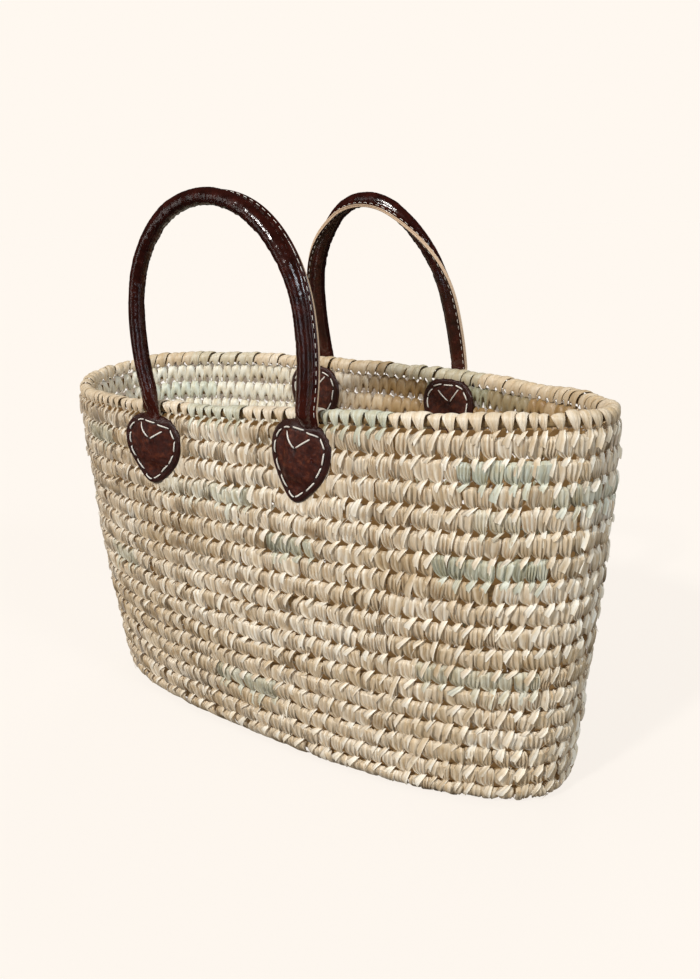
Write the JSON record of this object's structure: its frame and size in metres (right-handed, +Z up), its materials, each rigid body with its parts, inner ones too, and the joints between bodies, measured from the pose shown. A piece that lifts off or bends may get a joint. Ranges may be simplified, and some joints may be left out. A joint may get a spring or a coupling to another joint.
{
  "type": "woven basket",
  "caption": "Oval open-top market basket of coiled palm leaf with two rolled leather carrying handles that fold in and out on sewn leather patches.",
  "frame": {"origin": "middle of the underside, where the basket stands", "axes": "+X along the basket, +Y towards the rear handle, +Z up"},
  "size_m": [0.5379, 0.2318, 0.4584],
  "materials": {
    "palm_leaf": "matte dried palm leaf, coiled and wrapped",
    "dark_leather": "polished dark brown leather",
    "waxed_thread": "waxed white thread",
    "rope_core": "twisted rope"
  },
  "bodies": {
    "basket": {"base_centre": "palm_leaf", "base_course_1": "palm_leaf", "base_course_2": "palm_leaf", "base_course_3": "palm_leaf", "base_course_4": "palm_leaf", "front_left_handle_tongue": "dark_leather", "front_left_inner_patch": "dark_leather", "front_left_outer_patch": "dark_leather", "front_left_patch_thread": "waxed_thread", "front_right_handle_tongue": "dark_leather", "front_right_inner_patch": "dark_leather", "front_right_outer_patch": "dark_leather", "front_right_patch_thread": "waxed_thread", "rear_left_handle_tongue": "dark_leather", "rear_left_inner_patch": "dark_leather", "rear_left_outer_patch": "dark_leather", "rear_left_patch_thread": "waxed_thread", "rear_right_handle_tongue": "dark_leather", "rear_right_inner_patch": "dark_leather", "rear_right_outer_patch": "dark_leather", "rear_right_patch_thread": "waxed_thread", "rim_coil": "palm_leaf", "wall_course_01": "palm_leaf", "wall_course_02": "palm_leaf", "wall_course_03": "palm_leaf", "wall_course_04": "palm_leaf", "wall_course_05": "palm_leaf", "wall_course_06": "palm_leaf", "wall_course_07": "palm_leaf", "wall_course_08": "palm_leaf", "wall_course_09": "palm_leaf", "wall_course_10": "palm_leaf", "wall_course_11": "palm_leaf", "wall_course_12": "palm_leaf", "wall_course_13": "palm_leaf", "wall_course_14": "palm_leaf", "wall_course_15": "palm_leaf", "wall_course_16": "palm_leaf", "wall_course_17": "palm_leaf"},
    "front_handle": {"front_handle_core": "rope_core", "front_handle_seam_thread": "waxed_thread", "front_handle_sleeve": "dark_leather"},
    "rear_handle": {"rear_handle_core": "rope_core", "rear_handle_seam_thread": "waxed_thread", "rear_handle_sleeve": "dark_leather"}
  },
  "joints": [
    {"name": "front_handle_swing", "type": "hinge", "parent": "basket", "child": "front_handle", "pos_m": [0, -0.10963, 0.304], "axis": [1, 0, 0], "range_deg": [-41, 110]},
    {"name": "rear_handle_swing", "type": "hinge", "parent": "basket", "child": "rear_handle", "pos_m": [0, 0.10963, 0.304], "axis": [-1, 0, 0], "range_deg": [-28, 122]}
  ]
}
